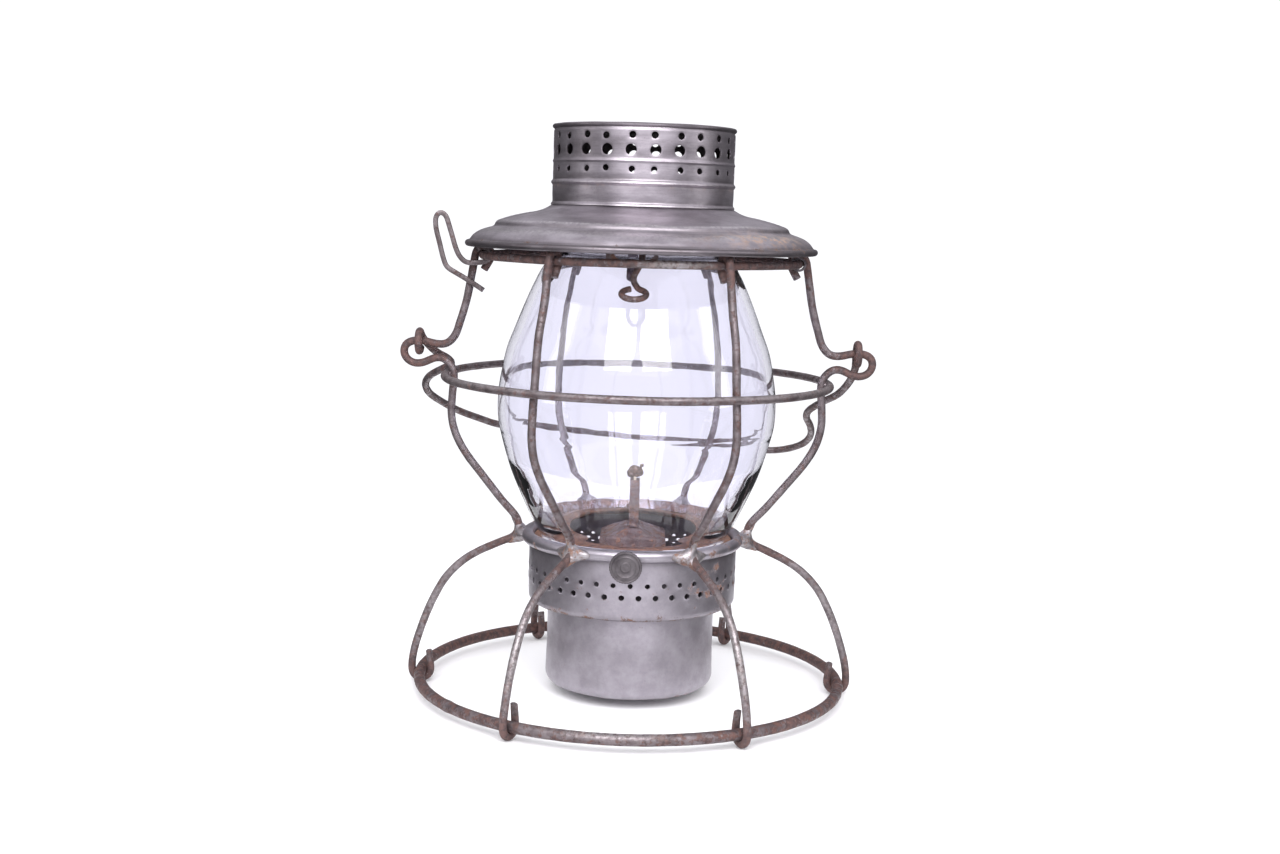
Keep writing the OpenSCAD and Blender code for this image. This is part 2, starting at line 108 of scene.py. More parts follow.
BAIL_RUN = [(-92.6, 6.6, 1.9), (-89, 13.5, 0.2), (-84.6, 21.5, 0), (-84, 28.5, 0),
            (-89.5, 36, 0), (-95.5, 45, 0), (-99, 57, 0), (-98.5, 70.5, 0), (-93, 85, 0),
            (-87, 96, 0), (-78, 107, 0), (-69, 116, 0), (-40, 124.5, 0), (1.7, 134.4, 0),
            (40, 141.5, 0), (62, 145.4, 0), (72, 144.6, 0), (79, 139.6, 0), (83.8, 132, 0),
            (86, 122, 0), (86, 112, 0), (84.3, 101, 0), (81.4, 89, 0), (81.4, 79, 0),
            (86.2, 66, 0), (92.2, 54, 0), (95.6, 35, 0), (96, 20, 0), (95.5, 12, 0.3),
            (94.9, 6.6, 1.9)]
BAIL_DROP = math.radians(25)
BAIL_EYE_X = 94.7
BAIL_EYE_R = 4.4
LATCH_RUN = [(-71.5, 185.6), (-75, 185.8), (-77.9, 188.7), (-79.6, 192.6), (-80.8, 196.6),
             (-82.4, 201.6), (-83.8, 205.4), (-85.9, 206.8), (-87.8, 205.2), (-88, 201),
             (-86.2, 193.6), (-84.6, 187.5), (-83, 183.6), (-79.3, 181.3), (-73.8, 178.2),
             (-67.1, 174)]
LATCH_Y = -3.6
LATCH_CURL = 3.2
RETAINER_RUN = [(0.7, -62.8, 189.4), (-0.8, -62.6, 186.6), (-2.2, -61, 183.6), (-1.8, -58, 181.3)]
RETAINER_HOOK = (1, -60, 191)
FINGER_C = np.array((-1.9, -59.5, 177))
FINGER_R = 5
FINGER_TILT = math.radians(22)
GLOBE_RUN = [(40.3, 68.4), (41.2, 70.5), (43.2, 74), (49.8, 88), (54.4, 99), (58.2, 112),
             (59.7, 119), (60.1, 126.5), (59.8, 133.5), (58.4, 142), (56.5, 150.5), (53.3, 159),
             (49.8, 168), (46, 177), (41.9, 185), (37.5, 190.8), (33.6, 194.2), (32.4, 197.5),
             (32.4, 205.6)]
GLASS = 3
FOOT_GLASS = 5.4
FOOT_GLASS_Z = 72
EVEN_GLASS_Z = 101
GUARD_WIRES = ("right", "back_right", "back_left", "left", "front_left", "front_right")

# ---- curves


def wave(p, size, seed=0.0):
    """Smooth noise from -1 to 1 at a point, with features about size across."""
    return noise.noise(Vector((p[0] / size + seed, p[1] / size - seed, p[2] / size + 2 * seed)))


def bell(x, middle, width):
    """1 at the middle, fading away on both sides."""
    return math.exp(-((x - middle) / width) ** 2)


def fade(x, middle, width):
    """1 at the middle, with a sharp peak, fading away on both sides."""
    return math.exp(-abs(x - middle) / width)


def turn(a, start):
    """Angle from start to a, from half a turn back to half a turn on."""
    return (a - start + math.pi) % (2 * math.pi) - math.pi


def flat_r(p):
    """Distance of a point from the lantern's axis."""
    return math.hypot(p[0], p[1])


def on_ring(a, r, z):
    """The point at angle a and radius r."""
    return np.array((r * math.cos(a), r * math.sin(a), z))


def outward(azimuth):
    """Unit vectors away from the axis and round it, at an azimuth in degrees."""
    a = math.radians(azimuth)
    return np.array((math.cos(a), math.sin(a), 0)), np.array((-math.sin(a), math.cos(a), 0))


def upright(line, out):
    """A (radius, height) line, stood up in the plane through the axis and out."""
    return line[:, :1] * out + line[:, 1:] * UP


def on_curve(a, b, c, d, u):
    """Centripetal Catmull-Rom curve between b and c."""
    t1 = math.sqrt(np.linalg.norm(b - a))
    t2 = t1 + math.sqrt(np.linalg.norm(c - b))
    t3 = t2 + math.sqrt(np.linalg.norm(d - c))
    t = t1 + (t2 - t1) * u
    p = a + (b - a) * t / t1
    q = b + (c - b) * (t - t1) / (t2 - t1)
    r = c + (d - c) * (t - t2) / (t3 - t2)
    s = p + (q - p) * t / t2
    w = q + (r - q) * (t - t1) / (t3 - t1)
    return s + (w - s) * (t - t1) / (t2 - t1)


def curve(points, step):
    """Smooth curve through points, with a point about every step."""
    p = [np.array(q, float) for q in points]
    p = [2 * p[0] - p[1]] + p + [2 * p[-1] - p[-2]]
    made = []
    for i in range(1, len(p) - 2):
        n = max(2, math.ceil(np.linalg.norm(p[i + 1] - p[i]) / step))
        made += [on_curve(p[i - 1], p[i], p[i + 1], p[i + 2], k / n) for k in range(n)]
    return np.array(made + [p[-2]])


def arc(centre, radius, start, end, n):
    """Points on an arc, with its angles in degrees."""
    angles = np.radians(np.linspace(start, end, n + 1))
    return np.stack([centre[0] + radius * np.cos(angles), centre[1] + radius * np.sin(angles)], 1)


def unit(v):
    return v / np.linalg.norm(v, axis=-1, keepdims=True)


def spread(path, step):
    """The same line with points evenly spaced, about a step apart."""
    gaps = np.linalg.norm(np.diff(path, axis=0), axis=1)
    keep = np.concatenate([[True], gaps > 1e-4])
    path = path[keep]
    along = np.concatenate([[0], np.cumsum(np.linalg.norm(np.diff(path, axis=0), axis=1))])
    at = np.linspace(0, along[-1], max(3, round(along[-1] / step) + 1))
    return np.stack([np.interp(at, along, path[:, k]) for k in range(path.shape[1])], 1)


def smooth(path, times):
    """Softens the corners of a line and keeps its ends."""
    for _ in range(times):
        path[1:-1] = path[1:-1] * 0.5 + (path[:-2] + path[2:]) * 0.25
    return path


def side_vectors(path):
    """A steady pair of side vectors at each point of a line."""
    t = unit(np.gradient(path, axis=0))
    n = np.array((0.0, 1.0, 0.0)) if abs(t[0][1]) < 0.9 else np.array((1.0, 0.0, 0.0))
    first = []
    for k in t:
        n = unit(n - k * (n @ k))
        first.append(n)
    first = np.array(first)
    return first, np.cross(t, first)

# ---- pieces


def placed(name, data):
    """A new object in the scene."""
    obj = bpy.data.objects.new(name, data)
    bpy.context.scene.collection.objects.link(obj)
    return obj


def piece(name, points, faces, body, look, nodes, crease=35):
    """A mesh piece from millimetre points, which rides on a body and stands for CAD nodes."""
    mesh = bpy.data.meshes.new(name)
    mesh.from_pydata((np.asarray(points, float) * MM).tolist(), [], faces)
    mesh.validate()
    mesh.shade_smooth()
    mesh.set_sharp_from_angle(angle=math.radians(crease))
    obj = placed(name, mesh)
    mesh.materials.append(LOOKS[look])
    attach(obj, body)
    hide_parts(*nodes)
    return obj


def paint(obj, name, rule, hidden=None):
    """Writes rule(point in mm) to a point attribute that the piece's material reads.

    Where hidden is given, it takes rule's place on the first half of a Shell's points: the
    skin on the left of its line."""
    places = np.empty(3 * len(obj.data.vertices))
    obj.data.vertices.foreach_get("co", places)
    places = places.reshape(-1, 3) / MM
    half = len(places) // 2 if hidden else 0
    values = [hidden(p) for p in places[:half]] + [rule(p) for p in places[half:]]
    layer = obj.data.attributes.new(name, "FLOAT", "POINT")
    layer.data.foreach_set("value", np.array(values, np.float32))


def skin_faces(rings, sides, loop=False):
    """Quads between rings of points, and from the last ring to the first if loop is true."""
    faces = []
    for i in range(rings if loop else rings - 1):
        a, b = i * sides, (i + 1) % rings * sides
        for k in range(sides):
            j = (k + 1) % sides
            faces.append((a + k, a + j, b + j, b + k))
    return faces


def capped_faces(rings, sides):
    """Quads between rings, and a fan at each end to one of the two points after the rings."""
    faces = skin_faces(rings, sides)
    first, top = rings * sides, (rings - 1) * sides
    for k in range(sides):
        j = (k + 1) % sides
        faces.append((first, j, k))
        faces.append((first + 1, top + k, top + j))
    return faces


def sweep_wire(path, radius, rough, seed, scale=None):
    """Points and faces of a round wire, a little uneven, with its ends cut off square.

    scale(share of the way along) may give its size across and along the lantern."""
    angles = 2 * math.pi * np.arange(WIRE_SIDES) / WIRE_SIDES
    section = np.stack([radius * np.cos(angles), radius * np.sin(angles)], 1)
    n, b = side_vectors(path)
    t = unit(np.gradient(path, axis=0))
    rows = [(0, 0, 0.82), (0, 0.1 * radius, 1)]
    rows += [(i, 0, 1) for i in range(1, len(path) - 1)]
    rows += [(len(path) - 1, -0.1 * radius, 1), (len(path) - 1, 0, 0.82)]
    points = []
    for i, along, size in rows:
        wide = scale(i / (len(path) - 1)) if scale else (1, 1)
        centre = path[i] + t[i] * along
        swell = size * (1 + rough * wave(centre, 4.5, seed))
        for a, c in section:
            p = centre + swell * (a * wide[0] * n[i] + c * wide[1] * b[i])
            points.append(p + unit(p - centre) * rough * 0.9 * wave(p, 1.6, seed))
    return np.array(points + [path[0], path[-1]]), capped_faces(len(rows), WIRE_SIDES)


def torus(radius, height, thick, around, sides, seed, joint):
    """A ring of wire, a little uneven, with a swelling at the angle where it was joined."""
    points, rough = [], 0.03
    for i in range(around):
        a = 2 * math.pi * i / around
        out = np.array((math.cos(a), math.sin(a), 0))
        r = thick * (1 + rough * wave(out * radius, 6, seed))
        r *= 1 + 0.1 * bell(turn(a, math.radians(joint)) * radius, 0, 2.2)
        centre = out * radius + UP * height
        centre = centre + UP * 0.12 * wave(out * radius, 40, seed + 3)
        for k in range(sides):
            b = 2 * math.pi * k / sides
            p = centre + r * (math.cos(b) * out + math.sin(b) * UP)
            points.append(p + unit(p - centre) * rough * wave(p, 1.6, seed))
    return np.array(points), skin_faces(around, sides, loop=True)


def lathe(outline, around, warp=None):
    """Points and faces of a closed (radius, height) outline turned about the axis."""
    points, faces, rows = [], [], []
    for r, z in outline:
        if r < 1e-6:
            rows.append([len(points)] * around)
            points.append((0, 0, z))
            continue
        rows.append(list(range(len(points), len(points) + around)))
        for k in range(around):
            a = 2 * math.pi * k / around
            p = on_ring(a, r, z)
            points.append(warp(p) if warp else p)
    for i, row in enumerate(rows):
        other = rows[(i + 1) % len(rows)]
        for k in range(around):
            j = (k + 1) % around
            corners = [row[k], row[j], other[j], other[k]]
            flat = [c for n, c in enumerate(corners) if c not in corners[:n]]
            if len(flat) > 2:
                faces.append(flat)
    return np.array(points), faces


def joined(parts):
    """Several (points, faces) as one."""
    points, faces, base = [], [], 0
    for p, f in parts:
        points.append(np.asarray(p))
        faces += [tuple(base + c for c in face) for face in f]
        base += len(p)
    return np.concatenate(points), faces


class Shell:
    """A spun sheet with holes punched in it: columns around, rows along a (radius, height) line."""

    def __init__(self, line, thickness, columns, step, warp=None):
        self.line = spread(np.array(line, float), step)
        t = unit(np.gradient(self.line, axis=0))
        self.normal = np.stack([-t[:, 1], t[:, 0]], 1)
        gaps = np.linalg.norm(np.diff(self.line, axis=0), axis=1)
        self.along = np.concatenate([[0], np.cumsum(gaps)])
        self.thickness, self.columns, self.warp = thickness, columns, warp
        self.flat, self.quads, self.taken = [], [], set()
        self.rows = len(self.line)
        for c in range(columns):
            self.flat += [(2 * math.pi * c / columns, s, 0.0) for s in self.along]

    def at(self, column, row):
        return column % self.columns * self.rows + row

    def punch(self, height, diameter, angle, half_columns, half_rows, lip):
        """One round hole at a height, its edge pushed by lip along the sheet's normal."""
        middle = int(np.argmin(np.abs(self.line[:, 1] - height) + (self.line[:, 0] < 1) * 1e3))
        column = round(angle / (2 * math.pi) * self.columns)
        lo_c, hi_c = column - half_columns, column + half_columns
        lo_r, hi_r = middle - half_rows, middle + half_rows
        self.taken |= {(c % self.columns, r) for c in range(lo_c, hi_c) for r in range(lo_r, hi_r)}
        edge = [(c, lo_r) for c in range(lo_c, hi_c)] + [(hi_c, r) for r in range(lo_r, hi_r)]
        edge += [(c, hi_r) for c in range(hi_c, lo_c, -1)] + [(lo_c, r) for r in range(hi_r, lo_r, -1)]
        radius = self.line[middle, 0]
        centre = np.array((angle * radius, self.along[middle]))
        last = [self.at(c, r) for c, r in edge]
        outer = np.array([(2 * math.pi * c / self.columns * radius, self.along[r]) for c, r in edge])
        ray = unit(outer - centre)
        worn = [1 + 0.05 * wave((*(centre + d), height), 0.8, 5) for d in ray]
        rim = centre + ray * (np.array(worn) * diameter / 2)[:, None]
        for share in (0.45, 0.8, 1.0):
            ring = []
            for a, b in zip(outer, rim):
                q = a + (b - a) * share
                ring.append(len(self.flat))
                self.flat.append((q[0] / radius, q[1], lip * share ** 3))
            for k in range(len(ring)):
                j = (k + 1) % len(ring)
                self.quads.append((last[k], last[j], ring[j], ring[k]))
            last = ring

    def build(self, leave_out=None):
        """Points and faces, with leave_out(angle, radius, height) true where the sheet is cut away."""
        for c in range(self.columns):
            for r in range(self.rows - 1):
                angle = 2 * math.pi * (c + 0.5) / self.columns
                cut = leave_out and leave_out(angle, *(self.line[r] + self.line[r + 1]) / 2)
                if (c, r) not in self.taken and not cut:
                    self.quads.append((self.at(c, r), self.at(c + 1, r),
                                       self.at(c + 1, r + 1), self.at(c, r + 1)))
        flat = np.array(self.flat)
        base = np.stack([np.interp(flat[:, 1], self.along, self.line[:, k]) for k in (0, 1)], 1)
        out = np.stack([np.interp(flat[:, 1], self.along, self.normal[:, k]) for k in (0, 1)], 1)
        sheets = []
        for side in (0.5, -0.5):
            shift = side * self.thickness + flat[:, 2]
            if self.warp:
                shift = shift + np.array([self.warp(a, r, z) for a, (r, z) in zip(flat[:, 0], base)])
            q = base + out * shift[:, None]
            sheets.append(np.stack([q[:, 0] * np.cos(flat[:, 0]), q[:, 0] * np.sin(flat[:, 0]),
                                    q[:, 1]], 1))
        count = len(flat)
        once = {}
        for quad in self.quads:
            for a, b in zip(quad, quad[1:] + quad[:1]):
                once[(a, b)] = once.get((a, b), 0) + 1
        faces = [tuple(reversed(q)) for q in self.quads]
        faces += [tuple(count + c for c in q) for q in self.quads]
        for a, b in once:
            if (b, a) not in once:
                faces.append((a, b, count + b, count + a))
        used = sorted({c for f in faces for c in f})
        place = {c: i for i, c in enumerate(used)}
        points = np.concatenate(sheets)[used]
        return points, [tuple(place[c] for c in f) for f in faces]

# ---- materials


class NodeTree:
    """Adds shader nodes, whose inputs are numbers, colours or other nodes' outputs."""

    def __init__(self, tree):
        self.tree = tree

    def node(self, kind, inputs=None, **settings):
        made = self.tree.nodes.new("ShaderNode" + kind)
        for key, value in settings.items():
            setattr(made, key, value)
        for key, value in (inputs or {}).items():
            self.join(value, made.inputs[key])
        return made

    def join(self, value, socket):
        if isinstance(value, bpy.types.NodeSocket):
            self.tree.links.new(value, socket)
        elif isinstance(value, tuple) and len(value) == 3 and socket.type == "RGBA":
            socket.default_value = (*value, 1)
        else:
            socket.default_value = value

    def math(self, kind, a, b=0.0, c=0.0):
        made = self.node("Math", operation=kind)
        for value, socket in zip((a, b, c), made.inputs):
            self.join(value, socket)
        return made.outputs[0]

    def times(self, a, b):
        return self.math("MULTIPLY", a, b)

    def rise(self, value, start, stop, top=1.0):
        """0 below start, top above stop, smooth between."""
        made = self.node("MapRange", {"Value": value, "From Min": start, "From Max": stop,
                                      "To Max": top}, interpolation_type="SMOOTHSTEP")
        return made.outputs[0]


class Look(NodeTree):
    """A procedural material, built up node by node."""

    def __init__(self, name):
        self.material = bpy.data.materials.new(name)
        self.material.use_nodes = True
        super().__init__(self.material.node_tree)
        self.shader = self.tree.nodes["Principled BSDF"]
        self.where = self.node("TexCoord").outputs["Object"]
        self.bumps = None

    def noise(self, size, detail=4.0, rough=0.55, stretch=(1, 1, 1), shift=0.0):
        """Noise from about 0.3 to 0.7 with features about size millimetres across."""
        scale = tuple(1 / (MM * size * s) for s in stretch)
        place = self.node("Mapping", {"Vector": self.where, "Scale": scale,
                                      "Location": (shift, shift * 0.7, -shift)})
        made = self.node("TexNoise", {"Vector": place.outputs[0], "Scale": 1.0, "Detail": detail,
                                      "Roughness": rough})
        return made.outputs["Fac"]

    def attribute(self, name):
        return self.node("Attribute", attribute_name=name).outputs["Fac"]

    def span(self, value, start, stop, to_start, to_stop):
        """Goes evenly from to_start to to_stop as value goes from start to stop."""
        made = self.node("MapRange", {"Value": value, "From Min": start, "From Max": stop,
                                      "To Min": to_start, "To Max": to_stop})
        return made.outputs[0]

    def mix(self, share, a, b):
        made = self.node("Mix", data_type="RGBA")
        self.join(share, made.inputs["Factor"])
        self.join(a, made.inputs[6])
        self.join(b, made.inputs[7])
        return made.outputs[2]

    def bump(self, height, depth, strength=1.0):
        """Adds relief depth millimetres deep."""
        made = self.node("Bump", {"Height": height, "Distance": depth * MM, "Strength": strength})
        if self.bumps is not None:
            self.tree.links.new(self.bumps, made.inputs["Normal"])
        self.bumps = made.outputs[0]

    def finish(self, **sockets):
        for key, value in sockets.items():
            self.join(value, self.shader.inputs[key.replace("_", " ")])
        if self.bumps is not None:
            self.tree.links.new(self.bumps, self.shader.inputs["Normal"])
        return self.material


def aged_metal(name, clean, dull, rust, deep_rust, rust_at, grime=0.5, metal=0.85, rough=0.42,
               relief=0.06, patch=9.0, stretch=(1, 1, 1), shine=0.0):
    """Bare metal that has dulled, with rust where the noise is above rust_at.

    Point attributes steer it: rust adds rust, gold yellows it, dirt darkens with
    soot and with painted shade, bare polishes with wear and with painted highlights."""
    look = Look(name)
    patches = look.noise(patch, 5, 0.6, stretch)
    clouds = look.noise(patch * 2.7, 3, 0.5, stretch, shift=4)
    grain = look.noise(0.9, 6, 0.7, shift=9)
    streaks = look.noise(2.2, 4, 0.6, tuple(s * s * s for s in stretch), shift=2)
    tone = look.mix(look.rise(patches, 0.34, 0.66), dull, clean)
    tone = look.mix(look.span(clouds, 0.3, 0.7, 0.35 * grime, 0), tone, (0.05, 0.045, 0.045))
    tone = look.mix(look.span(streaks, 0.3, 0.7, 0.28 * grime, 0), tone, (0.03, 0.03, 0.03))
    pits = look.rise(grain, 0.56, 0.72)
    tone = look.mix(look.times(pits, 0.4 * grime), tone, (0.035, 0.025, 0.02))
    field = look.math("ADD", look.times(look.noise(patch * 0.6, 6, 0.65, shift=17), 0.7),
                      look.times(grain, 0.3))
    field = look.math("MULTIPLY_ADD", look.attribute("rust"), 0.3, field)
    rusted = look.rise(field, rust_at, rust_at + 0.1)
    rust_tone = look.mix(look.rise(look.noise(2.4, 5, 0.6, shift=31), 0.38, 0.62), deep_rust, rust)
    tone = look.mix(look.times(rusted, 0.9), tone, rust_tone)
    gold = look.times(look.attribute("gold"),
                      look.rise(look.noise(3.5, 6, 0.7, shift=23), 0.42, 0.6))
    tone = look.mix(look.times(gold, 0.75), tone, (0.42, 0.2, 0.055))
    # Darkening read from a point attribute: soot, and painted shade in creases, under rims and inside
    # hollows.
    tone = look.mix(look.times(look.attribute("dirt"), 0.8), tone, (0.03, 0.022, 0.02))
    polish = look.rise(look.noise(1.3, 4, 0.7, shift=41), 0.66 - 0.2 * shine, 0.76 - 0.2 * shine)
    polish = look.times(polish, min(1.0, shine * 3))
    # Polish read from a point attribute: wear, and painted highlights on lit tops, fronts and crests.
    worn = look.times(look.attribute("bare"),
                      look.rise(look.noise(1.7, 5, 0.7, shift=47), 0.36, 0.6))
    polish = look.math("MAXIMUM", polish, worn)
    # Bare metal tone where polished: worn specks, and the painted highlights from the attribute.
    tone = look.mix(look.times(polish, 0.85), tone, (0.6, 0.58, 0.58))
    dead = look.math("MAXIMUM", look.times(rusted, 0.75), look.times(gold, 0.6))
    dead = look.times(dead, look.math("SUBTRACT", 1.0, polish))
    look.bump(look.noise(patch * 0.5, 3, 0.5, shift=51), relief * 2, 0.5)
    look.bump(grain, relief, 0.7)
    look.bump(rusted, relief * 1.2, 0.8)
    grip = look.span(grain, 0.3, 0.7, rough - 0.06, rough + 0.1)
    grip = look.math("MULTIPLY_ADD", dead, 0.28, grip)
    grip = look.math("MULTIPLY_ADD", polish, -0.12, grip)
    return look.finish(Base_Color=tone, Roughness=grip,
                       Metallic=look.times(look.math("SUBTRACT", 1.0, dead), metal))


def clear_glass():
    look = Look("clear_glass")
    look.bump(look.noise(16, 2, 0.4, stretch=(1, 1, 0.6)), 0.2, 0.25)
    look.finish(Base_Color=(0.905, 0.898, 0.97), Roughness=0.0, IOR=1.5, Transmission_Weight=1.0,
                Specular_IOR_Level=0.6)
    look.material.diffuse_color = (0.9, 0.89, 0.96, 0.3)
    return look.material


def wick_cotton():
    look = Look("wick_cotton")
    weave = look.node("TexWave", {"Vector": look.where, "Scale": 1 / (2.2 * MM), "Distortion": 0.6},
                      bands_direction="Z")
    ribs = look.node("TexWave", {"Vector": look.where, "Scale": 1 / (1.6 * MM), "Distortion": 0.4},
                     bands_direction="Y")
    cloth = look.times(weave.outputs["Fac"], ribs.outputs["Fac"])
    tone = look.mix(look.noise(3, 4), (0.5, 0.44, 0.33), (0.68, 0.62, 0.5))
    tone = look.mix(look.times(cloth, 0.4), tone, (0.28, 0.22, 0.15))
    look.bump(cloth, 0.15)
    return look.finish(Base_Color=tone, Roughness=0.9, Sheen_Weight=0.2)


def char():
    look = Look("char")
    crumbs = look.noise(0.8, 6, 0.75)
    tone = look.mix(look.rise(crumbs, 0.4, 0.62), (0.035, 0.025, 0.022), (0.2, 0.125, 0.095))
    tone = look.mix(look.rise(look.noise(1.5, 4, shift=6), 0.55, 0.7), tone, (0.3, 0.24, 0.215))
    look.bump(crumbs, 0.35)
    return look.finish(Base_Color=tone, Roughness=0.92)


BROWN = (0.115, 0.058, 0.05)
DEEP_BROWN = (0.048, 0.027, 0.027)
LOOKS = {m.name: m for m in (
    aged_metal("rusty_wire", (0.245, 0.212, 0.222), (0.135, 0.107, 0.112), BROWN, DEEP_BROWN, 0.5,
               metal=0.75, rough=0.42, relief=0.07, patch=5, shine=0.12),
    aged_metal("base_wire", (0.22, 0.187, 0.197), (0.12, 0.092, 0.097), (0.12, 0.056, 0.045),
               DEEP_BROWN, 0.48, metal=0.75, rough=0.43, relief=0.08, patch=7, shine=0.1),
    aged_metal("tinned_sheet", (0.5, 0.46, 0.505), (0.33, 0.3, 0.33), (0.2, 0.1, 0.055),
               (0.09, 0.045, 0.03), 0.64, metal=0.95, rough=0.38, relief=0.035, patch=11,
               stretch=(1.6, 1.6, 0.6)),
    aged_metal("drum_sheet", (0.43, 0.402, 0.445), (0.35, 0.325, 0.362), (0.22, 0.1, 0.055),
               (0.1, 0.045, 0.03), 0.63, grime=0.3, metal=0.96, rough=0.37, relief=0.045, patch=8),
    aged_metal("solder", (0.48, 0.45, 0.465), (0.27, 0.245, 0.255), (0.26, 0.125, 0.07),
               (0.12, 0.06, 0.045), 0.53, metal=0.88, rough=0.38, relief=0.1, patch=4),
    aged_metal("rusty_sheet", (0.24, 0.195, 0.2), (0.14, 0.1, 0.1), (0.21, 0.1, 0.058),
               (0.08, 0.04, 0.032), 0.47, metal=0.6, rough=0.5, relief=0.08, patch=5),
    aged_metal("dark_sheet", (0.15, 0.135, 0.145), (0.075, 0.065, 0.072), (0.1, 0.055, 0.042),
               (0.045, 0.027, 0.025), 0.58, metal=0.75, rough=0.48, relief=0.06, patch=6),
    aged_metal("spring_steel", (0.22, 0.19, 0.195), (0.11, 0.09, 0.092), BROWN, DEEP_BROWN, 0.52,
               metal=0.8, rough=0.42, relief=0.05, patch=5, shine=0.1),
    aged_metal("old_brass", (0.3, 0.22, 0.12), (0.14, 0.1, 0.065), (0.12, 0.09, 0.05),
               (0.05, 0.035, 0.025), 0.6, metal=0.85, rough=0.45, relief=0.04, patch=6),
    clear_glass(), wick_cotton(), char())}


def carry(node, slot, bevel=0.0):
    """Shows a CAD node as it is, with a finished material and its edges softened."""
    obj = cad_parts[node]
    obj.data.materials.clear()
    obj.data.materials.append(LOOKS[slot])
    if bevel:
        soft = obj.modifiers.new("edges", "BEVEL")
        soft.width, soft.segments = bevel * MM, 2
        soft.limit_method, soft.angle_limit = "ANGLE", math.radians(40)

# ---- cage


def guard_path(run):
    """(radius, height) line of a guard wire, from the tail of its top hook to its foot's tail."""
    top = arc((TOP_R, TOP_Z), TOP_HOOK, 212, 0, 24)
    low_hook = arc((BASE_R, BASE_Z), BASE_HOOK, 0, -180, 24)
    tail = [top[0] + 5.4 * unit(np.array((0.5, -0.87)))]
    end = [low_hook[-1] + (0.3, 4), low_hook[-1] + (1, 8.5)]
    line = np.concatenate([tail, top, curve(run + LEG_RUN, 1.5), low_hook, end])
    return smooth(spread(line, WIRE_STEP), 3)


def guard_wire(name, azimuth, seed):
    """A guard wire that sways a little where nothing holds it."""
    eared = azimuth in (0, 180)
    line = guard_path(EAR_RUN if eared else UPPER_RUN)
    out, side = outward(azimuth)
    path = upright(line, out)
    free = np.clip((line[:, 1] - 12) / 10, 0, 1) * np.clip((184 - line[:, 1]) / 8, 0, 1)
    free *= np.clip(np.abs(line[:, 1] - GUARD_Z) / 8, 0, 1)
    sway = np.array([wave(p, 34, seed) for p in path])
    path = path + (free * sway * 0.5)[:, None] * side
    tail = 9 / (len(path) * WIRE_STEP)

    def size(share):
        """The foot's tail is hammered a little flat, and wide across the lantern."""
        flat = max(0.0, 1 - (1 - share) / tail) if share > 0.5 else 0.0
        return (1 + 0.3 * flat, 1 - 0.22 * flat)

    points, faces = sweep_wire(path, WIRE, 0.035, seed, size)
    points[:, 2] = np.maximum(points[:, 2], 0)
    obj = piece(name + "_bent", points, faces, "frame", "rusty_wire", [name])

    def rust(p):
        ear = bell(flat_r(p), 95, 9.49) * bell(p[2], PIVOT_Z - 4, 9.49) if eared else 0
        foot = fade(max(p[2], 6), 6, 5)
        top = fade(min(p[2], TOP_Z - 4), TOP_Z - 4, 3)
        return min(1, 0.85 * ear + 0.8 * foot + 0.6 * bell(p[2], DRUM_TOP, 7) + 0.5 * top)

    # Polished outward side of the legs' middle: some wear, and a painted highlight, stronger on the two
    # front wires.
    def bare(p):
        facing = max(0, p @ out / max(1, flat_r(p)))
        return bell(p[2], 36, 17) * facing * (0.5 if azimuth in (240, 300) else 0.3)

    paint(obj, "rust", rust)
    paint(obj, "bare", bare)


def cage():
    for number, place in enumerate(GUARD_WIRES):
        guard_wire("guard_wire_" + place, 60 * number, 1.7 * number + 0.3)
    base = piece("base_ring_wire", *torus(BASE_R, BASE_Z, BASE_WIRE, 420, 20, 2, 217),
                 "frame", "base_wire", ["base_ring"])
    # Polished top of the front half: some wear, and a painted highlight.
    paint(base, "bare", lambda p: 0.4 * bell(p[0], -8, 26)
          * (p[1] < 0) * max(0.0, (p[2] - BASE_Z) / BASE_WIRE + 0.2))
    paint(base, "rust", lambda p: 0.5 if p[1] > 0 else 0.25 * abs(p[0]) / BASE_R)
    guard = piece("guard_ring_wire", *torus(GUARD_R, GUARD_Z, WIRE, 400, WIRE_SIDES, 5, 100),
                  "frame", "rusty_wire", ["guard_ring"])
    # Polished top of the front half: some wear, and a painted highlight.
    paint(guard, "bare", lambda p: 0.35 * (p[1] < 0) * max(0.0, (p[2] - GUARD_Z) / WIRE))
    top = piece("top_ring_wire", *torus(TOP_R, TOP_Z, WIRE, 340, WIRE_SIDES, 8, 70),
                "frame", "rusty_wire", ["top_ring"])
    paint(top, "rust", lambda p: 0.45 + 0.3 * wave(p, 14, 3))
    # A polished patch at the front: some wear, and a painted highlight.
    paint(top, "bare", lambda p: 0.5 * bell(p[0], 14, 12) * (p[1] < 0))


def blob(centre, axes, radii, seed, rough):
    """An uneven drop of metal with its own three axes."""
    points, around, rows = [], 28, 18
    for i in range(1, rows):
        b = math.pi * i / rows
        for k in range(around):
            a = 2 * math.pi * k / around
            d = np.array((math.sin(b) * math.cos(a), math.sin(b) * math.sin(a), math.cos(b)))
            d = d * (1 + rough * wave(d * 3, 2.2, seed) + 0.4 * rough * wave(d * 3, 0.8, seed))
            points.append(centre + sum(axes[n] * radii[n] * d[n] for n in range(3)))
    points += [centre + axes[2] * radii[2], centre - axes[2] * radii[2]]
    return np.array(points), capped_faces(rows - 1, around)


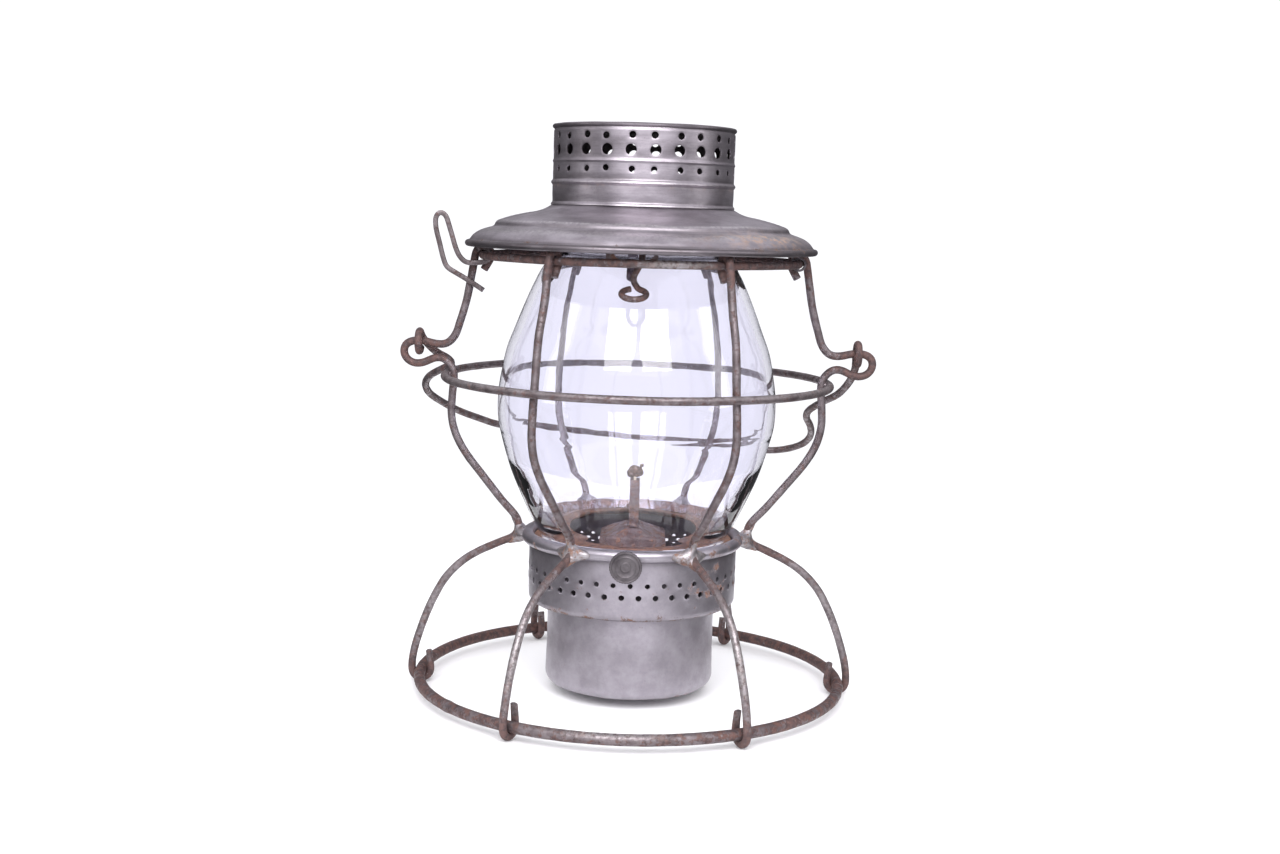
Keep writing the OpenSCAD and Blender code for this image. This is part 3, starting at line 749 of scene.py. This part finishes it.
def fused(centre, lobes, level, seed):
    """A lump fused from round lobes (offset, size), as one skin seen from its centre."""
    around, rows, farthest = 48, 36, 14.0
    spots = np.array([offset for offset, _ in lobes])
    sizes = np.array([size for _, size in lobes])
    rays = []
    for i in range(1, rows):
        b = math.pi * i / rows
        rays += [(math.sin(b) * math.cos(a), math.sin(b) * math.sin(a), math.cos(b))
                 for a in 2 * math.pi * np.arange(around) / around]
    rays = np.array(rays + [(0, 0, 1), (0, 0, -1)])
    inner, outer = np.zeros(len(rays)), np.full(len(rays), farthest)
    for _ in range(24):
        middle = (inner + outer) / 2
        gaps = rays[:, None, :] * middle[:, None, None] - spots
        field = np.exp(-(gaps ** 2).sum(2) / sizes ** 2).sum(1)
        inner, outer = np.where(field > level, middle, inner), np.where(field > level, outer, middle)
    points = centre + rays * inner[:, None]
    for i, p in enumerate(points):
        points[i] = p + rays[i] * 0.28 * wave(p, 2.4, seed)
    return points, capped_faces(rows - 1, around)


def solder():
    """Fillets that run a little way along the bead, up each guard wire and down its leg."""
    drops, welds = [], []
    bead_edge = BEAD_R + BEAD + 0.4
    for n in range(6):
        out, side = outward(60 * n)
        lobes = []
        for along, size in ((-7.0, 1.5), (-4.8, 2.3), (-2.4, 2.9), (0, 3.1), (2.4, 2.9), (4.8, 2.3),
                            (7.0, 1.5)):
            sag = -0.035 * along * along
            lobes.append((side * along + out * sag, size * (1 + 0.12 * wave((n, along, 0), 3, 2))))
        lobes += [(out * 0.9 + UP * 3.2, 1.9), (out * 2.8 + UP * 5.6, 1.6),
                  (out * 4.9 + UP * 8.0, 1.35),
                  (out * 2.2 - UP * 2.4, 2.2), (out * 5.0 - UP * 3.6, 1.75)]
        drops.append(fused(out * bead_edge + UP * (DRUM_TOP - 0.2), lobes, 0.62, n * 2.1))
        welds.append(blob(out * (GUARD_R - WIRE) + UP * GUARD_Z, (out, UP, side), (1.5, 1.5, 2.1),
                          n * 1.3, 0.12))
    obj = piece("solder_joints", *joined(drops), "frame", "solder", ["collar_solder"])
    paint(obj, "rust", lambda p: 0.32 * max(0, flat_r(p) - bead_edge) / 5 + 0.25 * wave(p, 6, 3))
    piece("guard_ring_welds", *joined(welds), "frame", "rusty_wire", ["ring_welds"])

# ---- drum, tank, globe


def drum():
    corner = 2.0
    floor = low("air_drum")[2] + SHEET / 2
    bottom = arc((DRUM_R - corner, floor + corner), corner, -90, 0, 8)
    roll = arc((BEAD_R, DRUM_TOP), BEAD - 0.45, 200, -95, 40)
    line = np.concatenate([[(CUP_R + 0.2, floor)], bottom, [(DRUM_R, 56), (DRUM_R, 65.6)],
                           roll[2:]])

    def dent(a, r, z):
        p = on_ring(a, DRUM_DENTS, z)
        return 0.35 * wave(p, 26, 4) + 0.08 * wave(p, 7, 6)

    shell = Shell(line, SHEET, 640, 0.42, dent)
    holes = 40
    pitch = 2 * math.pi / holes
    for k in range(holes):
        jig = 0.12 * wave((k, 0, 0), 1.3, 2)
        shell.punch(55.9 + 2 * jig, 2.1, k * pitch, 5, 5, -0.12)
        shell.punch(51.0 - 2 * jig, 2.4, (k + 0.5) * pitch, 6, 5, -0.12)
    obj = piece("air_drum_sheet", *shell.build(), "frame", "drum_sheet", ["air_drum"])
    paint(obj, "rust", lambda p: 0.55 * fade(p[2], floor, 2.2)
          + 0.4 * bell(p[2], 53, 6) * max(0, wave(p, 5, 2) + 0.3)
          + (0.35 if p[0] > 22 and p[2] > 45 else 0) * max(0, wave(p, 8, 7) + 0.5)
          + (p[2] > 66) * (0.75 if p[1] > 12 else 0.45 * max(0, wave(p, 7, 5) + 0.2)))
    # Darkened just under the bead and at the bottom edge: painted shade.
    paint(obj, "dirt", lambda p: 0.55 * fade(p[2], 65, 1.2) * (p[2] < 66.5)
          + 0.5 * fade(p[2], floor, 1.0))


def cup():
    corner = 4.0
    floor = low("tank_cup")[2] + SHEET / 2
    line = np.concatenate([[(0.0, floor)], arc((CUP_R - corner, floor + corner), corner, -90, 0, 10),
                           [(CUP_R, 46)]])

    def dent(a, r, z):
        p = on_ring(a, CUP_DENTS, z)
        hollow = -0.5 * bell(a, 4.5, 0.25) * bell(z, 30, 9)
        return (0.45 * wave(p, 24, 9) + 0.08 * wave(p, 6, 3) + hollow) * min(1, r / 20)

    points, faces = Shell(line, SHEET, 200, 0.9, dent).build()
    obj = piece("tank_cup_sheet", points, faces, "frame", "drum_sheet", ["tank_cup"])
    paint(obj, "rust", lambda p: 0.5 * fade(p[2], floor, 2.5) * max(0, wave(p, 9, 2) + 0.6))
    # Darkened in a band where the drum's floor meets the cup: painted shade.
    paint(obj, "dirt", lambda p: 0.6 * fade(p[2], 40.5, 1.1))


def seat():
    line = curve([(28.5, 71), (30.4, 70.9), (32.9, 70.4), (34.4, 68.3), (35.8, 67.9),
                  (43, 67.95)], 0.6)

    def dent(a, r, z):
        return 0.3 * wave(on_ring(a, r, z), 13, 2)

    shell = Shell(line[::-1], 0.7, 200, 0.6, dent)
    obj = piece("globe_seat_sheet", *shell.build(), "frame", "rusty_sheet", ["globe_seat"])
    paint(obj, "rust", lambda p: 0.45 + 0.3 * wave(p, 10, 4))


def globe():
    outer = spread(curve(GLOBE_RUN, 1.0), 1.3)
    t = unit(np.gradient(outer, axis=0))
    foot = np.clip((EVEN_GLASS_Z - outer[:, 1]) / (EVEN_GLASS_Z - FOOT_GLASS_Z), 0, 1)
    thick = GLASS + (FOOT_GLASS - GLASS) * foot
    inner = (outer + thick[:, None] * np.stack([-t[:, 1], t[:, 0]], 1))[::-1]
    inner[:, 1] = np.clip(inner[:, 1], outer[0, 1], outer[-1, 1])
    mould_seam = 116.0

    def ripple(p):
        r = flat_r(p)
        body = min(1, max(0, (p[2] - FOOT_GLASS_Z) / 8)) * min(1, max(0, (190 - p[2]) / 8))
        skin = 0.12 * wave(p, 21, 3) + 0.018 * wave(p, 7, 8)
        seam = 0.12 * bell(p[2], mould_seam + 0.6 * wave(p, 30, 2), 0.5)
        return p + np.array((p[0] / r, p[1] / r, 0)) * (skin + seam) * body

    obj = piece("globe_glass", *lathe(np.concatenate([outer, inner]), 220, warp=ripple), "frame",
                "clear_glass", ["globe"], crease=60)
    obj.visible_shadow = False

# ---- burner and wick


def wick_end():
    """The burnt, mushroomed end of the wick, with a bead of crust on top."""
    x, y, z = np.eye(3)
    middle = np.array((0.3, 0, 97.2))
    lumps = [((0, 0, 0), (3.4, 2.5, 5.6), 3, 0.2), ((0.6, -3.0, 0.3), (2.9, 2.3, 2.9), 5, 0.25),
             ((-1.2, -2.4, -0.5), (2.4, 1.8, 2.6), 7, 0.25),
             ((-0.4, 3.0, -0.1), (2.8, 2.4, 2.8), 9, 0.25),
             ((2.3, -3.4, 2.2), (0.45, 1.0, 0.45), 12, 0.1),
             ((2.8, -3.6, 3.4), (0.85, 0.75, 0.85), 15, 0.1)]
    parts = [blob(middle + place, (x, z, y), radii, seed, rough) for place, radii, seed, rough in lumps]
    piece("wick_crust", *joined(parts), "wick", "char", ["wick_char"])


def knob():
    """A turned disc with a raised rim, fine rings and a milled edge."""
    rim, face = KNOB_R, 1.9
    outline = [(0, 0.1), (rim - 0.5, 0.1), (rim - 0.1, 0.3), (rim, 0.8), (rim, 1.8), (rim - 0.2, 2.3),
               (rim - 0.6, 2.45), (rim - 1.1, 2.3), (rim - 1.3, face), (rim - 2.3, face - 0.05),
               (rim - 2.5, face + 0.12), (rim - 2.7, face - 0.05), (2.3, face - 0.1),
               (2.1, face + 0.15), (1.7, face + 0.2), (1.4, face), (0.6, face + 0.1),
               (0, face + 0.12)]
    points, faces = lathe(outline, 144)
    angle = np.arctan2(points[:, 1], points[:, 0])
    radius = np.hypot(points[:, 0], points[:, 1])
    teeth, depth = 36, 0.12
    milled = (radius > rim - 0.25) * depth * (np.cos(teeth * angle) - 1)
    points[:, 0] += np.cos(angle) * milled
    points[:, 1] += np.sin(angle) * milled
    turned = np.stack([SHAFT_X + points[:, 0], KNOB_BACK - points[:, 2], SHAFT_Z + points[:, 1]], 1)
    piece("knob_disc", turned, faces, "knob", "dark_sheet", ["wick_knob"], crease=50)

# ---- lid


def hood():
    skin = [(38.95, 210.8), (42, 209.2), (45.4, 208.15), (49, 207.5), (53, 206.6), (57, 205.5),
            (60.2, 204.4), (61.5, 203.9), (62.3, 203.1), (62.8, 202.0), (63.8, 201.3),
            (66.4, 200.5), (69.4, 199.3), (71.7, 197.6), (73, 195.9)]
    wire = 1.05
    roll = arc((HOOD_R - 1.4, 194.3), wire, 115, -190, 30)
    line = np.concatenate([curve(skin, 0.8), roll])[::-1]

    def dent(a, r, z):
        p = on_ring(a, r, z)
        spun = 0.02 * math.sin(r * 3.1) * (46 < r < 62)
        return (0.3 * wave(p, 30, 1) + 0.14 * wave(p, 11, 5)) * (r < 73) + spun

    def notch(a, r, z):
        return r > 70.2 and abs(r * math.sin(a)) < 4.5 and math.cos(a) > 0

    shell = Shell(line, 0.7, 420, 0.45, dent)
    obj = piece("hood_sheet", *shell.build(notch), "lid", "tinned_sheet", ["hood"])

    def gold(p):
        a = math.degrees(math.atan2(p[1], p[0]))
        return bell(a, -42, 22) * bell(flat_r(p), 68.5, 4)

    paint(obj, "gold", gold)
    paint(obj, "rust", lambda p: 0.45 * fade(p[2], 195.9, 0.6) + 0.25 * gold(p)
          + 0.12 * (p[2] < 195.6))
    # Darkened at the rolled rim and below it, in the crease under the ridge and round the chimney's
    # foot: painted shade.
    paint(obj, "dirt", lambda p: min(0.85, 0.7 * fade(p[2], 196.1, 0.6) + 0.62 * (p[2] < 195.7)
          + 0.45 * bell(flat_r(p), 62.9, 0.7) + 0.4 * bell(flat_r(p), 39.5, 0.9)))
    # Polished line along the ridge and a broad band below it: painted highlight.
    paint(obj, "bare", lambda p: 0.8 * bell(flat_r(p), 61.6, 0.6) + 0.6 * bell(flat_r(p), 67.5, 3))


def rib(middle, height, width):
    """(radius, height) points across a rolled rib in the chimney's wall."""
    return [(CHIMNEY_R, middle - width), (CHIMNEY_R + height * 0.5, middle - width * 0.5),
            (CHIMNEY_R + height, middle), (CHIMNEY_R + height * 0.5, middle + width * 0.5),
            (CHIMNEY_R, middle + width)]


def chimney():
    rim = CHIMNEY_TOP - 1.1
    seam_at, seam_half = math.pi / 2, 0.05
    line = [(CHIMNEY_R, 209.7), (CHIMNEY_R, 210.6)] + rib(211.7, 0.7, 0.9)
    line += [(CHIMNEY_R, 216), (CHIMNEY_R, 219.6)] + rib(220.9, 0.75, 1.0)
    line += [(CHIMNEY_R, 225), (CHIMNEY_R, 228.9)] + rib(229.8, 0.35, 0.7)
    line += [(CHIMNEY_R, 235), (CHIMNEY_R, 242.2)]
    line = np.concatenate([curve(line, 0.4), arc((CHIMNEY_R - 0.1, rim), 0.6, 195, -100, 24)])

    def dent(a, r, z):
        p = on_ring(a, CHIMNEY_DENTS, z)
        away = turn(a, seam_at)
        seam = 0.25 * (math.tanh((away + seam_half) / 0.006) - math.tanh((away - seam_half) / 0.006))
        return 0.3 * wave(p, 28, 7) + 0.09 * wave(p, 8, 3) + seam * (212.5 < z < 243)

    shell = Shell(line, 0.6, 480, 0.42, dent)
    for k in range(12):
        for side in (-6.75, 6.75):
            angle = math.radians(30 * k + side)
            shift = wave((k, side, 0), 1.7, 4)
            shell.punch(240 + 0.5 * shift, 2.9, angle, 5, 5, 0.1)
            shell.punch(226.5 - 0.5 * shift, 2.6, angle, 5, 5, 0.1)
        for side in (7.5, 22.5):
            shell.punch(234.4, 4.6, math.radians(30 * k + side), 6, 7, 0.1)
    obj = piece("chimney_sheet", *shell.build(), "lid", "tinned_sheet", ["chimney"])
    # Darkened along the ribs' upper edges and at the top roll: painted shade in the creases, with soot
    # patches round the vents; the inner skin is dark: soot and painted shade inside.
    paint(obj, "dirt", lambda p: min(0.8, 0.5 * fade(p[2], 222.4, 0.6)
          + 0.45 * fade(p[2], 213.1, 0.6) + 0.45 * fade(p[2], 243.2, 0.8)
          + 0.45 * bell(p[2], 236, 6) * max(0, wave(p, 9, 5) + 0.6)),
          lambda p: 1.0 if p[2] < 241 else 0.6)
    # Polished rib crests outside: painted highlight.
    paint(obj, "bare", lambda p: 0.7 * fade(p[2], 220.9, 0.35) + 0.6 * fade(p[2], 211.7, 0.4),
          lambda p: 0.0)
    paint(obj, "gold", lambda p: 0.45 * fade(p[2], 219.4, 0.8) * (p[1] < 0)
          * max(0, wave(p, 12, 8) + 0.4))


def cap():
    line = [(0, 241.9), (10, 241.95), (18, 242.1), (19.3, 242.7), (26, 242.8), (27.2, 242.2),
            (35.2, 242.2), (36.4, 242.8), (36.9, 244)]

    def dent(a, r, z):
        return 0.35 * wave(on_ring(a, r, 0), 17, 6) * min(1, r / 8) * (r < 34)

    shell = Shell(curve(line, 0.7), 0.6, 180, 0.8, dent)
    obj = piece("chimney_cap_sheet", *shell.build(), "lid", "tinned_sheet", ["chimney_cap"])
    # Underside, inside the chimney, fully darkened and the top a little: soot and painted shade.
    paint(obj, "dirt", lambda p: 1.0, lambda p: 0.25)


def globe_holder():
    line = [(52.6, 205.2), (49.5, 205.4), (46.6, 205.0), (45.2, 202), (43.8, 197.6),
            (42.6, 196.5), (39.6, 195.9)]
    shell = Shell(curve(line, 0.7), 0.6, 180, 0.7)
    piece("globe_holder_sheet", *shell.build(), "lid", "dark_sheet", ["globe_holder"])


def globe_springs():
    """Three thin strips with a rib down the middle, bent against the globe's shoulder."""
    strip = np.array([(45.0, 200.4), (42.2, 196), (41.6, 193.4), (42.7, 188.6), (46, 180.5),
                      (47.9, 178.7)])
    line = spread(curve(strip, 0.6), 0.6)
    parts = []
    for azimuth in (-24, 96, 216):
        out, side = outward(azimuth)
        parts.append(strip_bar(upright(line, out), side, 2.45, 0.22, 0.12))
    piece("globe_spring_strips", *joined(parts), "lid", "spring_steel", ["globe_springs"])


def strip_bar(path, width_axis, half_width, half_thick, rib_height, taper=3.0):
    """A flat strip along a path, its flat side across width_axis, with a raised rib down it."""
    t = unit(np.gradient(path, axis=0))
    up = np.cross(t, width_axis)
    across = np.array((-1, -0.92, -0.45, -0.2, 0, 0.2, 0.45, 0.92, 1))
    lift = np.array((0.55, 1, 1, 1 + rib_height / half_thick, 1 + 1.6 * rib_height / half_thick,
                     1 + rib_height / half_thick, 1, 1, 0.55))
    section = np.concatenate([np.stack([across, lift], 1), np.stack([across, -lift], 1)[::-1]])
    along = np.concatenate([[0], np.cumsum(np.linalg.norm(np.diff(path, axis=0), axis=1))])
    points = []
    for i, p in enumerate(path):
        near = min(along[i], along[-1] - along[i]) / taper
        wide = half_width * math.sqrt(min(1, max(0.16, near * (2 - near)))) if near < 1 else half_width
        points += [p + width_axis * wide * s + up[i] * half_thick * h for s, h in section]
    sides = len(section)
    faces = skin_faces(len(path), sides)
    faces.append(tuple(range(sides))[::-1])
    faces.append(tuple((len(path) - 1) * sides + k for k in range(sides)))
    return np.array(points), faces


def latch():
    """The thumb catch: a grooved strip that curls round the top ring and bends into a loop."""
    ring_x = -math.sqrt(TOP_R ** 2 - LATCH_Y ** 2)
    curl = arc((ring_x, TOP_Z), LATCH_CURL, 150, -95, 40)
    line = np.concatenate([curl[:-1], curve([curl[-1]] + LATCH_RUN, 1.0)])
    line = smooth(spread(line, 0.7), 4)
    path = np.stack([line[:, 0], np.full(len(line), float(LATCH_Y)), line[:, 1]], 1)
    points, faces = strip_bar(path, np.array((0.0, 1, 0)), 1.5, 0.92, 0.0, 1.2)
    rows = points.reshape(len(path), -1, 3)
    groove, crest = (3, 5, 12, 14), (4, 13)
    for k, size in [(k, 0.78) for k in groove] + [(k, 1.2) for k in crest]:
        rows[:, k] = path + (rows[:, k] - path) * size
    piece("latch_strip", points, faces, "latch", "spring_steel", ["latch_spring"], crease=50)


def retainer():
    """The bent wire that hooks into the bracket's slot and ends in a finger eye."""
    x, y, z = RETAINER_HOOK
    hook = [(x, p[0], p[1]) for p in arc((y, z), 2.8, 0, 180, 16)]
    tilt = np.array((math.cos(FINGER_TILT), math.sin(FINGER_TILT)))
    eye = [tuple(FINGER_C + FINGER_R * np.array((math.sin(b), *(math.cos(b) * tilt))))
           for b in np.radians(np.arange(20, 345, 9))]
    path = np.concatenate([[(x, y + 2.8, z - 2.4)], hook, curve(RETAINER_RUN + eye[:1], 0.8), eye[1:]])
    path = smooth(spread(path, 0.6), 4)
    points, faces = sweep_wire(path, 1.25, 0.04, 6)
    obj = piece("retainer_wire", points, faces, "retainer", "rusty_wire", ["retainer_loop"])
    paint(obj, "rust", lambda p: 0.35)

# ---- bail


def bail_point(p):
    """A point of the bail's own plane, leant back about the pivot."""
    c, s = math.cos(BAIL_DROP), math.sin(BAIL_DROP)
    return (p[0], p[1] * c + p[2] * s, PIVOT_Z - p[1] * s + p[2] * c)


def bail():
    """One bent wire, from the end of its left eye round to the end of its right one."""
    def eye(side, start, end):
        return [(side * BAIL_EYE_X, BAIL_EYE_R * math.cos(a), BAIL_EYE_R * math.sin(a))
                for a in np.radians(np.linspace(start, end, 40))]

    left, right = eye(-1, 345, 60), eye(1, 60, 345)
    middle = curve([left[-1]] + BAIL_RUN + [right[0]], 1.2)
    line = np.concatenate([left[:-1], middle, right[1:]])
    path = smooth(spread(np.array([bail_point(p) for p in line]), WIRE_STEP), 3)
    points, faces = sweep_wire(path, WIRE, 0.035, 4)
    obj = piece("bail_wire", points, faces, "bail", "rusty_wire", ["bail"])
    paint(obj, "rust", lambda p: 0.7 * fade(abs(p[0]), BAIL_EYE_X, 9) * fade(p[1], 0, 9) + 0.1)

# ---- room


def ground():
    mesh = bpy.data.meshes.new("floor")
    wide, deep = 0.15, 0.32
    mesh.from_pydata([(-wide, -deep, 0), (wide, -deep, 0), (wide, deep, 0), (-wide, deep, 0)], [],
                     [(0, 1, 2, 3)])
    paper = Look("floor_paper")
    mesh.materials.append(paper.finish(Base_Color=(0.93, 0.93, 0.94), Roughness=1.0,
                                       Specular_IOR_Level=0.0))
    sheet = placed("floor", mesh)
    sheet.location.z = -0.0002


def studio():
    """A bright world, which is dim in reflections but for a glow in front and above."""
    world = bpy.data.worlds.new("studio")
    bpy.context.scene.world = world
    world.use_nodes = True
    air = NodeTree(world.node_tree)
    bright = world.node_tree.nodes["Background"]
    air.join((0.97, 0.97, 1.0), bright.inputs["Color"])
    air.join(1.1, bright.inputs["Strength"])
    way = air.node("SeparateXYZ", {"Vector": air.node("TexCoord").outputs["Generated"]})
    front = air.rise(air.times(way.outputs["Y"], -1.0), 0.45, 0.97, 0.95)
    above = air.rise(way.outputs["Z"], 0.2, 0.75, 0.85)
    level = air.math("ADD", air.math("ADD", front, above), 0.09)
    dim = air.node("Background", {"Color": (0.95, 0.93, 1.0), "Strength": level})
    ray = air.node("LightPath")
    outside = air.math("LESS_THAN", ray.outputs["Transmission Depth"], 0.5)
    mirrored = air.times(ray.outputs["Is Glossy Ray"], outside)
    both = air.node("MixShader", {0: mirrored, 1: bright.outputs[0], 2: dim.outputs[0]})
    air.join(both.outputs[0], world.node_tree.nodes["World Output"].inputs["Surface"])


def softbox(name, azimuth, elevation, distance, width, height, power):
    """An area light on a sphere round the lantern; azimuth 0 is at -Y, the camera's side."""
    a, e = math.radians(azimuth), math.radians(elevation)
    data = bpy.data.lights.new(name, "AREA")
    data.shape, data.size, data.size_y, data.energy = "RECTANGLE", width, height, power
    data.color = (1, 0.985, 1)
    obj = placed(name, data)
    back = Vector((math.sin(a) * math.cos(e), -math.cos(a) * math.cos(e), math.sin(e)))
    obj.location = Vector((0, 0, 0.12)) + back * distance
    obj.rotation_mode = "QUATERNION"
    obj.rotation_quaternion = (-back).to_track_quat("-Z", "Y")


def camera():
    """The photo's view: its lens, place and tilt."""
    data = bpy.data.cameras.new("camera")
    data.lens, data.sensor_width = 46.76, 36
    data.clip_start, data.clip_end = 0.05, 50
    obj = placed("camera", data)
    yaw, down, roll = math.radians(0.375), math.radians(7.343), math.radians(1.75)
    ahead = Vector((-math.sin(yaw) * math.cos(down), math.cos(yaw) * math.cos(down), -math.sin(down)))
    level = Vector((math.cos(yaw), math.sin(yaw), 0))
    above = level.cross(ahead)
    right = level * math.cos(roll) + above * math.sin(roll)
    up = above * math.cos(roll) - level * math.sin(roll)
    turn = Matrix((right, up, -ahead)).transposed().to_4x4()
    obj.matrix_world = Matrix.Translation((0.00643, -0.7172, 0.2090)) @ turn
    bpy.context.scene.camera = obj


camera()
ground()
studio()
softbox("key_left", -17, 37, 1.3, 0.53, 0.85, 9)
softbox("key_right", 17, 37, 1.3, 0.53, 0.85, 9)
softbox("side_left", -75, 20, 1.6, 0.4, 1.2, 3)
softbox("side_right", 75, 20, 1.6, 0.4, 1.2, 4)
bpy.context.scene.view_settings.view_transform = "Standard"

cage()
solder()
drum()
cup()
seat()
globe()
wick_end()
knob()
hood()
chimney()
cap()
globe_holder()
globe_springs()
latch()
retainer()
bail()
for name, slot_name, edge in (
        ("oil_fount", "dark_sheet", 0), ("burner_cap", "old_brass", 0.2),
        ("wick_tube", "rusty_sheet", 0.15), ("burner_deflector", "rusty_sheet", 0.15),
        ("shaft_bush", "dark_sheet", 0), ("smoke_baffle", "dark_sheet", 0.1),
        ("lid_hinge", "dark_sheet", 0.12), ("retainer_bracket", "rusty_sheet", 0.15),
        ("lid_rivets", "dark_sheet", 0.1), ("wick_shaft", "dark_sheet", 0),
        ("spur_wheels", "old_brass", 0.05), ("wick", "wick_cotton", 0)):
    carry(name, slot_name, edge)
